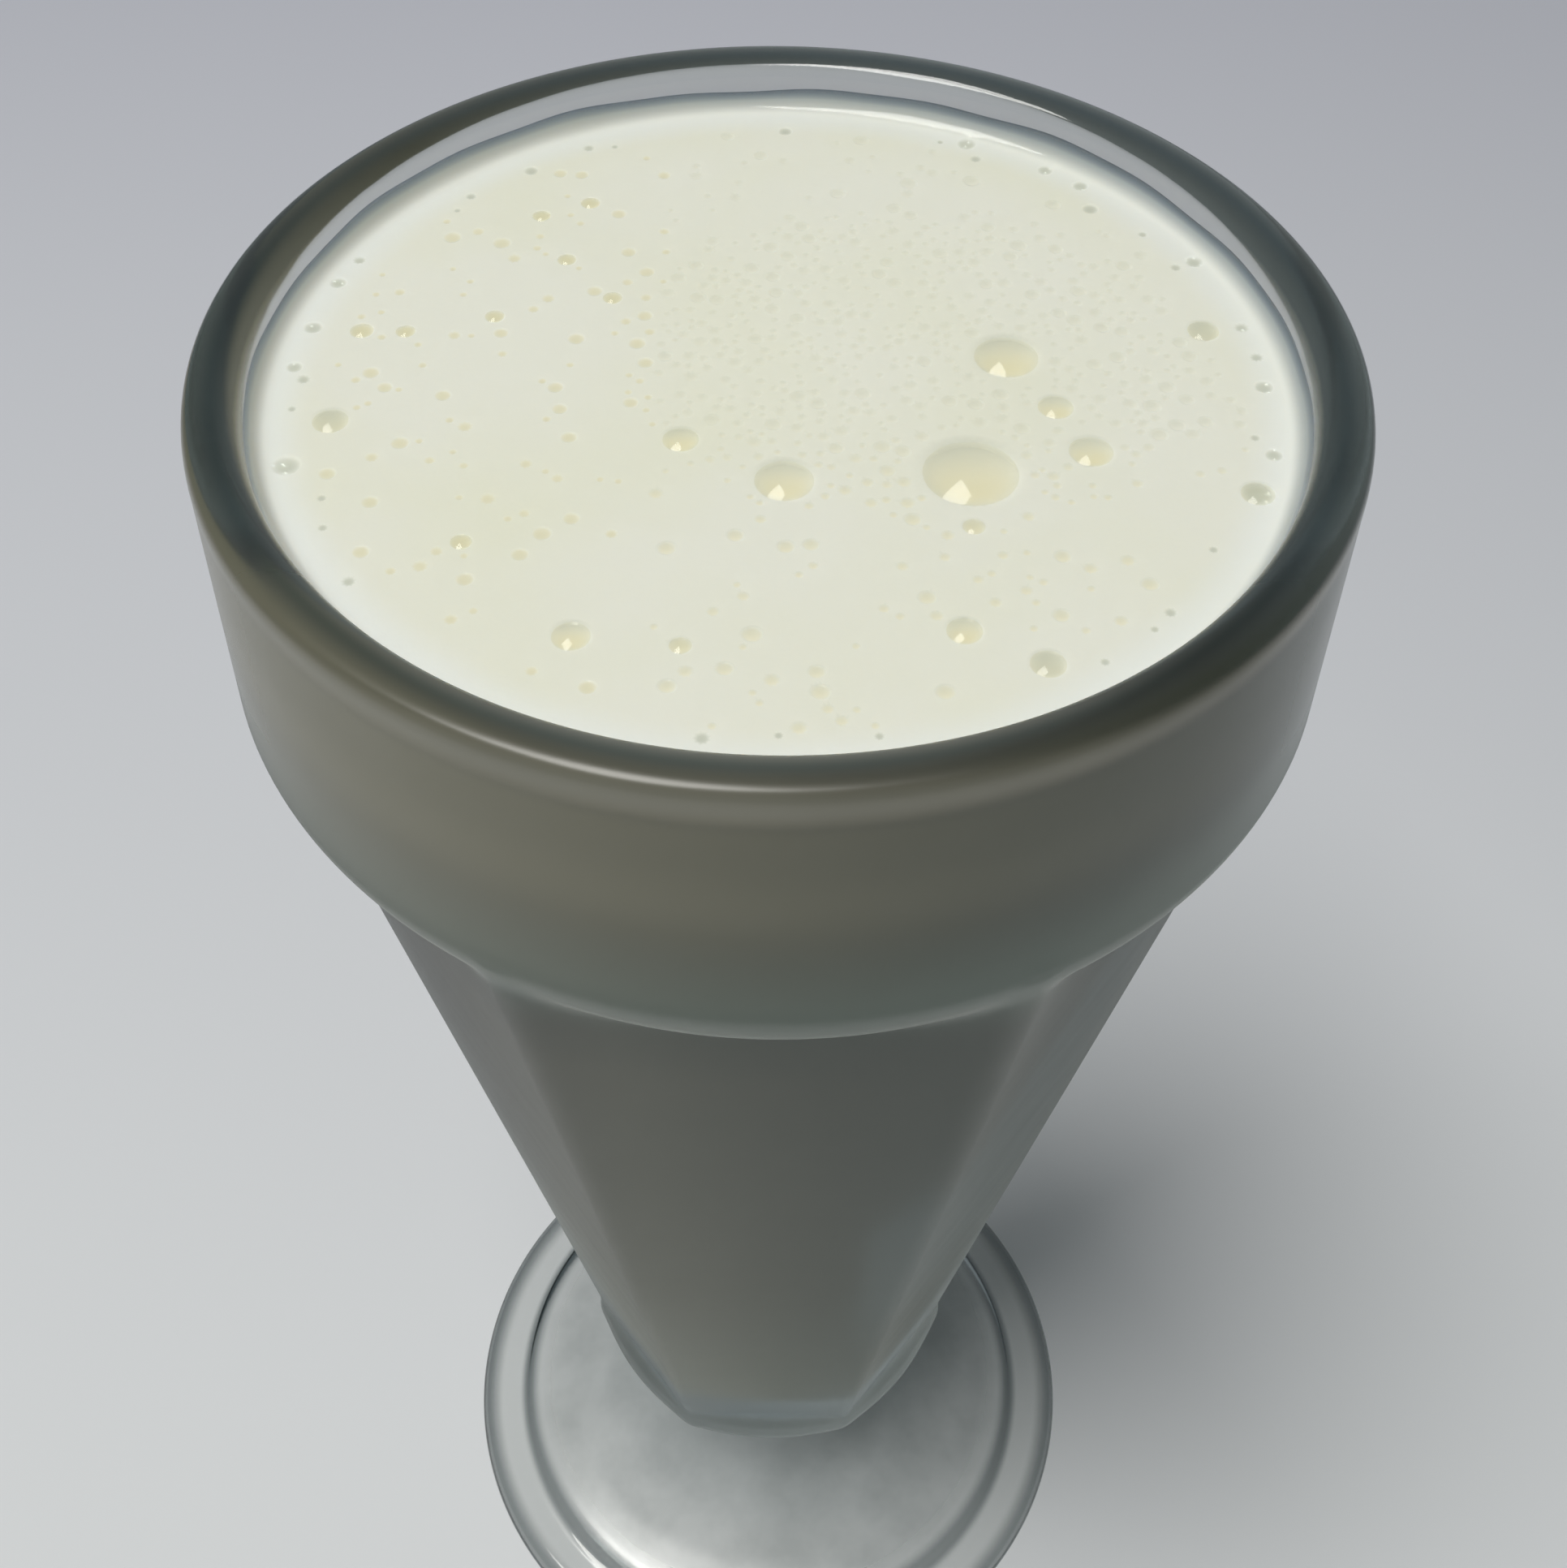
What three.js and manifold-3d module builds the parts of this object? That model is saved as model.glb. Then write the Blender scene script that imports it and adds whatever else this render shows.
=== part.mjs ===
// A footed glass of lassi: a heavy pressed glass with seven flat panels, filled almost to its rim.
// Lengths are in millimetres and +Z is up. The glass stands on z = 0 with its axis on Z.
// Angles about the axis are measured from -Y towards +X.
import * as THREE from 'three';
import { mergeVertices } from 'three/addons/utils/BufferGeometryUtils.js';
import Module from 'manifold-3d';

const wasm = await Module();
wasm.setup();

// Panels
const PANELS = 7;
const FIRST_RIDGE = THREE.MathUtils.degToRad(25.05);
const RIDGE_CIRCLE_AT_BENCH = 15.98;
const RIDGE_CIRCLE_GROWTH = 0.1692;
const RIDGE_ROUNDING = 0.1;
const PANEL_FOOT = 34.8;
const PANEL_HEAD = 160.5;

// Band, shoulder and rim
const HEIGHT = 185;
const BAND_FOOT = 162.5;
const BAND_RADIUS = 43.15;
const SHOULDER_FOOT = 150.5;
const SHOULDER_INSET = 7.94;
const SHOULDER_POWER = 1.64;
const RIM_MIDDLE_RADIUS = 40.35;
const RIM_HALF_WIDTH = 2.05;
const RIM_CROWN = 2.2;
const RIM_SQUARENESS = 3.4;
const RIM_SPRING = HEIGHT - RIM_CROWN;
const RIM_INNER_RADIUS = RIM_MIDDLE_RADIUS - RIM_HALF_WIDTH;

// Base of the bowl, neck and foot
const LEDGE_RADIUS = 21.6;
const NECK_RADIUS = 11.4;
const NECK_HEIGHT = 25.5;
const FOOT_RADIUS = 41.17;
const FOOT_EDGE_HEIGHT = 4.6;
const FOOT_EDGE_DEPTH = 2.5;
const FOOT_STEP_RADIUS = 34.2;
const FOOT_STEP_HEIGHT = 6;
const CONTACT_INNER_RADIUS = 34.6;
const UNDERSIDE_HOLLOW = 3.4;

// Inside of the bowl
const PANEL_WALL = 3.4;
const FLOOR_HEIGHT = 40.6;
const FLOOR_CORNER = 3.6;
const CAVITY_SHOULDER_RADIUS = 38.8;

// Drink
const FIT_GAP = 0.3;
const DRINK_LEVEL = 181.2;
const MENISCUS_RISE = 0.85;
const MENISCUS_WIDTH = 1.5;

// Bubbles on the drink: [x, y, radius] of the large ones, then a seeded scatter of small ones
const LARGE_BUBBLES = [
  [13.5, -9.5, 3.4], [16.9, 3.7, 2.4], [0.4, -10.5, 2.1], [22.2, -7.0, 1.6], [20.1, -2.1, 1.3],
  [-7.0, -6.2, 1.3], [-32.2, -4.6, 1.3], [-13.3, -25.9, 1.3], [12.2, -25.0, 1.2],
  [17.4, -27.9, 1.2], [32.1, 7.2, 1.2], [33.4, -11.3, 1.2],
];
const SMALL_BUBBLES = 44;
const SMALL_BUBBLE_RADII = [0.5, 0.8];
const BUBBLE_FIELD_RADIUS = 34.5;
const BUBBLE_SPACING = 1.2;
const BUBBLE_FLATNESS = 0.23;
const SCATTER_SEED = 20;

const FULL_TURN = 2 * Math.PI;
const SEGMENTS = PANELS * 8;
const panelShare = Math.cos(Math.PI / PANELS);

// Radius of the circle through the seven ridges at a height.
function ridgeCircle(z) {
  return RIDGE_CIRCLE_AT_BENCH + RIDGE_CIRCLE_GROWTH * z;
}

// Distance from the axis to the middle of a panel at a height.
function panelRadius(z) {
  return panelShare * ridgeCircle(z);
}

// A closed geometry as a solid, with shared vertices merged and the slivers at the poles dropped.
function solid(geometry) {
  geometry.deleteAttribute('normal');
  geometry.deleteAttribute('uv');
  const merged = mergeVertices(geometry, 1e-4);
  const corners = merged.index.array;
  const triangles = [];
  for (let i = 0; i < corners.length; i += 3) {
    const [a, b, c] = corners.slice(i, i + 3);
    if (a !== b && b !== c && c !== a) {
      triangles.push(a, b, c);
    }
  }
  const mesh = new wasm.Mesh({
    numProp: 3,
    vertProperties: merged.attributes.position.array,
    triVerts: new Uint32Array(triangles),
  });
  return new wasm.Manifold(mesh);
}

// A solid of revolution from [radius, height] points that start and end on the axis.
function turned(points) {
  const profile = points.map(([radius, height]) => new THREE.Vector2(radius, height));
  const geometry = new THREE.LatheGeometry(profile, SEGMENTS, FIRST_RIDGE);
  geometry.rotateX(Math.PI / 2);
  return solid(geometry);
}

// A smooth curve through [radius, height] points, as evenly spaced points.
function smooth(points, steps) {
  const curve = new THREE.SplineCurve(points.map(([radius, height]) => new THREE.Vector2(radius, height)));
  return curve.getSpacedPoints(steps).map((point) => [point.x, point.y]);
}

// A quarter or half of an oval, from one angle to another; squareness 2 is an ellipse.
function oval(radius, height, halfWidth, halfHeight, from, to, steps, squareness = 2) {
  const points = [];
  for (let i = 0; i <= steps; i += 1) {
    const angle = from + (to - from) * i / steps;
    const across = Math.cos(angle);
    const up = Math.sin(angle);
    points.push([
      radius + halfWidth * Math.sign(across) * Math.abs(across) ** (2 / squareness),
      height + halfHeight * Math.sign(up) * Math.abs(up) ** (2 / squareness),
    ]);
  }
  return points;
}

// The rounded step from the panels out to the plain band.
function shoulder(steps) {
  const points = [];
  for (let i = 0; i <= steps; i += 1) {
    const below = 1 - i / steps;
    const height = BAND_FOOT - below * (BAND_FOOT - SHOULDER_FOOT);
    points.push([BAND_RADIUS - SHOULDER_INSET * below ** SHOULDER_POWER, height]);
  }
  return points;
}

// The rim's blunt crown, from its outer side over the top to its inner side.
function rim(steps) {
  return oval(RIM_MIDDLE_RADIUS, RIM_SPRING, RIM_HALF_WIDTH, RIM_CROWN, 0, Math.PI, steps, RIM_SQUARENESS);
}

// Foot, neck, ledge under the panels, a core that the panels cover, shoulder, band and rim.
function roundOutside() {
  const edgeMiddle = FOOT_EDGE_HEIGHT / 2;
  const edgeCentre = FOOT_RADIUS - FOOT_EDGE_DEPTH;
  const coreInset = 1.5;
  const coreFoot = 39;
  const coreHead = 146;
  return turned([
    [0, 0],
    ...oval(edgeCentre, edgeMiddle, FOOT_EDGE_DEPTH, edgeMiddle, -Math.PI / 2, Math.PI / 2, 6),
    ...smooth([
      [FOOT_STEP_RADIUS + 1.3, FOOT_EDGE_HEIGHT + 0.3],
      [FOOT_STEP_RADIUS, FOOT_STEP_HEIGHT - 0.5],
      [FOOT_STEP_RADIUS - 1.2, FOOT_STEP_HEIGHT],
    ], 3),
    ...smooth([[28, 7.1], [22, 9.5], [17, 13], [13.6, 17.5], [11.9, 21.6], [NECK_RADIUS, NECK_HEIGHT]], 6),
    ...smooth([[12.1, 28.6], [14.8, 31], [18.4, 32.4], [20.7, 33.3]], 3),
    [LEDGE_RADIUS - 0.1, 34.5],
    [LEDGE_RADIUS, 35.6],
    [LEDGE_RADIUS - 0.5, 37],
    [panelRadius(coreFoot) - coreInset, coreFoot],
    [panelRadius(coreHead) - coreInset, coreHead],
    ...shoulder(6),
    ...rim(8),
    [0, RIM_SPRING],
  ]);
}

// Seven flat panels that taper towards the foot, with rounded ridges between them.
function panelledBody() {
  const outline = new THREE.Shape();
  for (let i = 0; i < PANELS; i += 1) {
    const angle = FIRST_RIDGE - Math.PI / 2 + i * FULL_TURN / PANELS;
    const centre = 1 - RIDGE_ROUNDING / panelShare;
    const halfTurn = Math.PI / PANELS;
    const centreX = centre * Math.cos(angle);
    const centreY = centre * Math.sin(angle);
    outline.absarc(centreX, centreY, RIDGE_ROUNDING, angle - halfTurn, angle + halfTurn, false);
  }
  const geometry = new THREE.ExtrudeGeometry(outline, { depth: 1, bevelEnabled: false, curveSegments: 2 });
  const position = geometry.attributes.position;
  for (let i = 0; i < position.count; i += 1) {
    const z = THREE.MathUtils.lerp(PANEL_FOOT, PANEL_HEAD, position.getZ(i));
    const scale = ridgeCircle(z);
    position.setXYZ(i, position.getX(i) * scale, position.getY(i) * scale, z);
  }
  return solid(geometry);
}

// Points of the bowl's inner wall from its floor to a height, set in by a clearance.
function cavityWall(clearance) {
  const wallFoot = FLOOR_HEIGHT + FLOOR_CORNER;
  const wallRadius = (z) => panelRadius(z) - PANEL_WALL - clearance;
  const cornerRadius = wallRadius(wallFoot) - FLOOR_CORNER;
  const cornerDrop = FLOOR_CORNER - clearance;
  const corner = oval(cornerRadius, wallFoot, FLOOR_CORNER, cornerDrop, -Math.PI / 2, 0, 3);
  const swell = smooth([
    [wallRadius(144), 144],
    [34.7 - clearance, 151.5],
    [37.3 - clearance, 158.5],
    [CAVITY_SHOULDER_RADIUS - clearance, 167],
  ], 5);
  return [[0, FLOOR_HEIGHT + clearance], ...corner, ...swell];
}

function glassSolid() {
  const cavity = turned([
    ...cavityWall(0),
    [RIM_INNER_RADIUS, RIM_SPRING],
    [RIM_INNER_RADIUS, HEIGHT + 1],
    [0, HEIGHT + 1],
  ]);
  const underside = turned([
    [0, -1],
    [CONTACT_INNER_RADIUS, -1],
    [CONTACT_INNER_RADIUS, 0],
    ...smooth([[33.9, 1.2], [31, 1.9], [20, 2.8], [0, UNDERSIDE_HOLLOW]], 4),
  ]);
  return roundOutside().add(panelledBody()).subtract(cavity).subtract(underside);
}

// A repeatable row of random numbers between 0 and 1.
function seededRandom(seed) {
  let state = seed;
  return () => {
    state = (state * 1103515245 + 12345) % 2147483648;
    return state / 2147483648;
  };
}

// Large bubbles where they lie, and small ones spread over the surface clear of each other.
function bubblePlaces() {
  const places = [...LARGE_BUBBLES];
  const random = seededRandom(SCATTER_SEED);
  while (places.length < LARGE_BUBBLES.length + SMALL_BUBBLES) {
    const reach = BUBBLE_FIELD_RADIUS * Math.sqrt(random());
    const angle = FULL_TURN * random();
    const radius = THREE.MathUtils.lerp(...SMALL_BUBBLE_RADII, random());
    const x = reach * Math.cos(angle);
    const y = reach * Math.sin(angle);
    const room = radius + BUBBLE_SPACING;
    if (places.every(([px, py, reached]) => Math.hypot(x - px, y - py) > reached + room)) {
      places.push([x, y, radius]);
    }
  }
  return places;
}

// One bubble as a low dome that stands on the drink's surface.
function bubble([x, y, radius]) {
  const sides = radius > 1 ? 10 : 6;
  const rings = radius > 1 ? 6 : 4;
  const geometry = new THREE.SphereGeometry(radius, sides, rings);
  geometry.rotateX(Math.PI / 2);
  geometry.scale(1, 1, BUBBLE_FLATNESS);
  geometry.translate(x, y, DRINK_LEVEL - 0.02);
  return solid(geometry);
}

// The drink up to its level, with a raised edge against the glass and bubbles on top.
function drinkSolid() {
  const edge = RIM_INNER_RADIUS - FIT_GAP;
  const meniscus = [];
  const steps = 4;
  for (let i = 0; i <= steps; i += 1) {
    const inward = i / steps;
    meniscus.push([edge - MENISCUS_WIDTH * inward, DRINK_LEVEL + MENISCUS_RISE * (1 - inward) ** 2]);
  }
  const body = turned([...cavityWall(FIT_GAP), ...meniscus, [0, DRINK_LEVEL]]);
  return bubblePlaces().reduce((drink, place) => drink.add(bubble(place)), body);
}

// A named mesh with its own material.
function part(name, shape, finish) {
  const { vertProperties, triVerts } = shape.getMesh();
  const geometry = new THREE.BufferGeometry();
  geometry.setAttribute('position', new THREE.BufferAttribute(vertProperties, 3));
  geometry.setIndex(new THREE.BufferAttribute(triVerts, 1));
  geometry.computeVertexNormals();
  const mesh = new THREE.Mesh(geometry, new THREE.MeshStandardMaterial(finish));
  mesh.name = name;
  return mesh;
}

const clearGlass = { color: '#b9c4c3', roughness: 0.03, metalness: 0, transparent: true, opacity: 0.4 };
const lassi = { color: '#e4e4d4', roughness: 0.35, metalness: 0 };

const group = new THREE.Group();
group.add(part('glass', glassSolid(), clearGlass));
group.add(part('lassi', drinkSolid(), lassi));

export default group;
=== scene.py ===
"""A footed, panelled glass filled almost to its rim with lassi, on a plain pale table top."""

import math
import random

import bpy
import numpy as np
from mathutils import Matrix, Vector
from mathutils.geometry import delaunay_2d_cdt


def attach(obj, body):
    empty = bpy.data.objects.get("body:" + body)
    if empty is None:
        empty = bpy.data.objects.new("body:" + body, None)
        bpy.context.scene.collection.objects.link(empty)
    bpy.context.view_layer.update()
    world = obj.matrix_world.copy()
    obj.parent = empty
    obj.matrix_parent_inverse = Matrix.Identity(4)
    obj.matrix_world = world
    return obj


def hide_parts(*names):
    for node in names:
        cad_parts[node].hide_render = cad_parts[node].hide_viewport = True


bl_info = {
    "name": "Glass of lassi",
    "version": (1, 0, 0),
    "blender": (4, 5, 0),
    "location": "View3D > Sidebar > Lassi",
    "description": "Builds a panelled, footed glass of lassi with its table top, light and camera",
    "category": "Add Mesh",
}

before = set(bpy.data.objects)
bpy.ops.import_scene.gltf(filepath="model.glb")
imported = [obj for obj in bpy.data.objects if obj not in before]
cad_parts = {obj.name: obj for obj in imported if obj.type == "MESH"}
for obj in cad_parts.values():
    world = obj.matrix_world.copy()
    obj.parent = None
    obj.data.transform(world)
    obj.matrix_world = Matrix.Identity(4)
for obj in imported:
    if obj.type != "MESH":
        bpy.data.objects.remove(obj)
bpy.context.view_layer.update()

MM = 0.001
PHOTO_HEIGHT = 1932

# Panels of the bowl, the first ridge's angle from -Y towards +X, and the mesh's columns.
PANELS = 7
FIRST_RIDGE = math.radians(25.05)
GLASS_COLUMNS_PER_PANEL = 38
DRINK_COLUMNS = 240

# Where the body with its ledge meets the neck, and where the underside turns flat.
BODY_FOOT = 34.5
CONTACT_RADIUS = 34.6

# Bluntness of the rim's two sides, and how the shoulder curves in under the band.
OUTER_RIM_SQUARENESS = 3.4
INNER_RIM_SQUARENESS = 2.8
SHOULDER_POWER = 1.64

# The soft edge's width at some heights, over its usual width: wide at the ledge and narrow at the shoulder.
SOFTENING_HEIGHTS = (42, 60, 100, 146)
SOFTENING = (2.8, 1, 1, 0.7)

# Radii that part large, medium and fine bubbles, and the smallest bubble with a film.
LARGE_RADIUS = 1
MEDIUM_RADIUS = 0.56
SMALLEST_FILM = 0.72

# How far from the glass's axis fine bubbles have their middle, and films their edge.
FROTH_REACH = 35.6
FILM_REACH = 36.5

# Rings of the surface mesh: over the meniscus as shares of its width, over bubbles as shares of their radius.
MENISCUS_RINGS = (0, 0.06, 0.13, 0.22, 0.34, 0.5, 0.7, 0.95, 1.3)
BUBBLE_RINGS = (0.3, 0.55, 0.75, 0.88, 0.96, 1.02, 1.1, 1.25)
FINE_BUBBLE_RINGS = (0.5, 0.82, 1.0, 1.25)
SURFACE_SPACING = 1.25

# Large bubbles on the drink, as x, y and radius in millimetres.
LARGE_BUBBLES = [
    (13.5, -9.5, 3.4), (16.9, 3.7, 2.4), (0.4, -10.5, 2.1), (22.2, -7.0, 1.6), (20.1, -2.1, 1.3),
    (-7.0, -6.2, 1.3), (-32.2, -4.6, 1.3), (-13.3, -25.9, 1.3), (12.2, -25.0, 1.2),
    (17.4, -27.9, 1.2), (32.1, 7.2, 1.2), (33.4, -11.3, 1.2),
]

# Medium bubbles in the same units: yellow ones on the left, grey ones by the wall.
MEDIUM_BUBBLES = [
    (-34.5, -9.5, 1.0), (15.6, 32.7, 0.8), (-15.5, 23.2, 0.8), (-19.3, 21.3, 0.75), (-13.1, 21.7, 0.6),
    (-26.1, 18.2, 0.7), (-22.1, 17.5, 0.7), (-16.8, 15.4, 0.75), (-12.0, 16.5, 0.6), (-12.9, 10.5, 0.75),
    (-10.3, 8.3, 0.6), (-21.7, 8.0, 0.75), (-31.5, 6.0, 0.9), (-28.2, 6.0, 0.75), (-35.2, 6.3, 0.7),
    (-15.3, 5.4, 0.65), (-10.7, 4.9, 0.65), (-30.1, 1.0, 0.65), (-16.4, -0.4, 0.6), (-26.9, -6.9, 0.65),
    (-31.5, -10.3, 0.6), (-28.1, -13.2, 0.6), (-21.4, -17.1, 0.75), (-16.0, -16.2, 0.65), (-17.3, -18.3, 0.6),
    (-28.0, -18.2, 0.6), (-7.5, -17.5, 0.65), (-6.2, -26.6, 0.75), (-1.6, -25.5, 0.7), (-11.9, -30.4, 0.6),
    (-6.9, -30.2, 0.6), (-3.3, -28.6, 0.6), (27.2, -1.8, 0.65), (27.3, -5.0, 0.65), (32.6, 16.1, 0.7),
    (35.7, 0.6, 0.7), (21.9, 28.8, 0.65), (24.6, 26.5, 0.65), (6.7, 33.1, 0.65), (10.5, 26.7, 0.7),
    (15.7, 27.1, 0.7), (4.6, 25.1, 0.65), (25.1, 23.2, 0.65), (18.9, 18.0, 0.65), (16.0, 12.8, 0.6),
    (8.9, 12.8, 0.6), (23.1, 12.0, 0.6), (6.1, -0.9, 0.6), (14.3, -1.9, 0.6), (35.2, -7.1, 0.65),
    (13.4, -15.0, 0.8), (2.8, -30.5, 0.65), (10.7, -30.4, 0.65), (24.8, -20.5, 0.6), (-24.5, -1.5, 0.6),
    (35.1, 7.7, 0.55), (35.7, 4.1, 0.5), (-35.8, 1.5, 0.6), (-34.2, 12.0, 0.65), (-33.0, 15.0, 0.5),
]


def linear(hex_colour, alpha=1.0):
    """An sRGB hex colour as linear red, green, blue and alpha."""
    channels = [int(hex_colour[i:i + 2], 16) / 255 for i in (1, 3, 5)]
    return [c / 12.92 if c <= 0.04045 else ((c + 0.055) / 1.055) ** 2.4 for c in channels] + [alpha]


def colour_property(name, description, hex_colour):
    """A colour swatch whose default is an sRGB hex colour."""
    return bpy.props.FloatVectorProperty(
        name=name, description=description, subtype="COLOR", size=4, min=0, max=1, default=linear(hex_colour))


def millimetres(name, description, value):
    """A length whose default is given in millimetres."""
    return bpy.props.FloatProperty(name=name, description=description, default=value * MM, unit="LENGTH", precision=5)


class GlassSizes(bpy.types.PropertyGroup):
    height: millimetres("Height", "Foot to rim", 185)
    ridge_circle: millimetres("Ridge circle", "Radius through the ridges, run down to the table", 15.98)
    ridge_growth: bpy.props.FloatProperty(name="Ridge growth", description="Widening for each unit of height",
                                          default=0.1692)
    ridge_rounding: bpy.props.FloatProperty(name="Ridge rounding", description="Share of the ridge circle",
                                            default=0.1, subtype="FACTOR")
    panel_head: millimetres("Panel head", "Height where the ridges run into the band", 162.5)
    shoulder_foot: millimetres("Shoulder foot", "Height where the shoulder starts", 150.5)
    shoulder_inset: millimetres("Shoulder inset", "How far the shoulder lies inside the band", 7.94)
    band_radius: millimetres("Band radius", "Widest radius of the plain band", 43.14)
    rim_radius: millimetres("Rim radius", "Radius of the middle of the rim", 40.35)
    rim_half_width: millimetres("Rim half width", "Half of the wall at the rim", 2.05)
    rim_crown: millimetres("Rim crown", "Height of the rim's rounding", 2.2)
    ledge_radius: millimetres("Ledge radius", "Round ledge under the panels", 21.6)
    neck_radius: millimetres("Neck radius", "Narrowest radius between bowl and foot", 11.4)
    foot_radius: millimetres("Foot radius", "Outer radius of the foot", 41.14)
    foot_edge: millimetres("Foot edge", "Thickness of the foot at its edge", 4.6)
    step_radius: millimetres("Step radius", "Radius of the raised step on the foot", 34.2)
    wall: millimetres("Panel wall", "Glass between a panel's middle and the drink", 3.4)
    floor_height: millimetres("Floor height", "Height of the bowl's inner floor", 40.6)
    floor_corner: millimetres("Floor corner", "Rounding of the inner floor", 3.6)
    blend: millimetres("Soft edge", "Width of the pressed glass's softened edges", 1.1)


class DrinkSizes(bpy.types.PropertyGroup):
    level: millimetres("Level", "Height of the drink's flat surface", 181.2)
    meniscus_rise: millimetres("Meniscus rise", "How far the drink climbs the wall", 1.6)
    meniscus_width: millimetres("Meniscus width", "How far the rise reaches inwards", 1.9)
    into_wall: millimetres("Reach into the wall", "Overlap that keeps air from showing", 0.12)
    hollow_share: bpy.props.FloatProperty(name="Hollow share", description="Depth of a bubble's hollow over its radius",
                                          default=0.16, subtype="FACTOR")
    film_share: bpy.props.FloatProperty(name="Film share", description="Rise of a bubble's film over its radius",
                                        default=0.36, subtype="FACTOR")
    froth_bubbles: bpy.props.IntProperty(name="Froth bubbles", description="How many fine bubbles", default=700)
    seed: bpy.props.IntProperty(name="Seed", description="Seed of the scattered bubbles", default=20)


class Looks(bpy.types.PropertyGroup):
    drink: colour_property("Lassi", "Fresh surface of the drink", "#EFF0E4")
    drink_warm: colour_property("Lassi, warm", "Creamier parts of the surface", "#EDEEDB")
    # Painted light and shade for the bubbles: a yellow glow inside and shade at the far side.
    drink_bubble_glow: colour_property("Lassi in a bubble", "Light caught inside a bubble", "#F4EECC")
    drink_shade: colour_property("Lassi, bubble edge", "Shaded far side of a bubble", "#C9CDBE")
    # Painted shade: the drink behind the glass is darker and greyer than fresh lassi.
    drink_wall_in_shade: colour_property("Lassi behind glass", "The drink seen through the wall", "#B7AD96")
    floor: colour_property("Table top", "Plain pale table top", "#EDF0F3")


class ViewSizes(bpy.types.PropertyGroup):
    distance: millimetres("Distance", "From the glass's axis to the camera, level", 112.26)
    height: millimetres("Height", "Camera above the table", 269.33)
    pitch: bpy.props.FloatProperty(name="Pitch", description="How far the camera looks down", default=0.8716,
                                   subtype="ANGLE")
    yaw: bpy.props.FloatProperty(name="Yaw", description="Turn to the right", default=0.0068, subtype="ANGLE")
    roll: bpy.props.FloatProperty(name="Roll", description="Tilt of the picture", default=0.0159, subtype="ANGLE")
    focal_pixels: bpy.props.FloatProperty(name="Focal length", description="In pixels of a picture 1932 high",
                                          default=2346.7)


def smooth_curve(points, steps):
    """Evenly spaced points of a smooth curve through a few points."""
    keys = np.array([points[0], *points, points[-1]], float)
    dense = []
    for i in range(1, len(keys) - 2):
        p0, p1, p2, p3 = keys[i - 1:i + 3]
        for t in np.linspace(0, 1, 24, endpoint=False):
            dense.append(0.5 * (2 * p1 + (p2 - p0) * t + (2 * p0 - 5 * p1 + 4 * p2 - p3) * t ** 2
                                + (3 * p1 - p0 - 3 * p2 + p3) * t ** 3))
    dense.append(keys[-1])
    dense = np.array(dense)
    run = np.concatenate([[0], np.cumsum(np.linalg.norm(np.diff(dense, axis=0), axis=1))])
    at = np.linspace(0, run[-1], steps + 1)
    return [(float(np.interp(s, run, dense[:, 0])), float(np.interp(s, run, dense[:, 1]))) for s in at]


def oval(radius, height, half_width, half_height, start, end, steps, squareness=2.0):
    """Points of an oval's arc; squareness 2 is an ellipse and more is blunter."""
    points = []
    for angle in np.linspace(start, end, steps + 1):
        across = math.cos(angle)
        up = math.sin(angle)
        points.append((radius + half_width * math.copysign(abs(across) ** (2 / squareness), across),
                       height + half_height * math.copysign(abs(up) ** (2 / squareness), up)))
    return points


def straight(start, end, steps):
    """Evenly spaced points of a straight line, without its first point."""
    return [tuple(np.array(start) + (np.array(end) - np.array(start)) * i / steps) for i in range(1, steps + 1)]


def softened_max(a, b, width):
    """The larger of two values, with a rounded change from one to the other."""
    overlap = np.maximum(width - np.abs(a - b), 0) / width
    return np.maximum(a, b) + overlap ** 2 * width / 4


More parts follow.
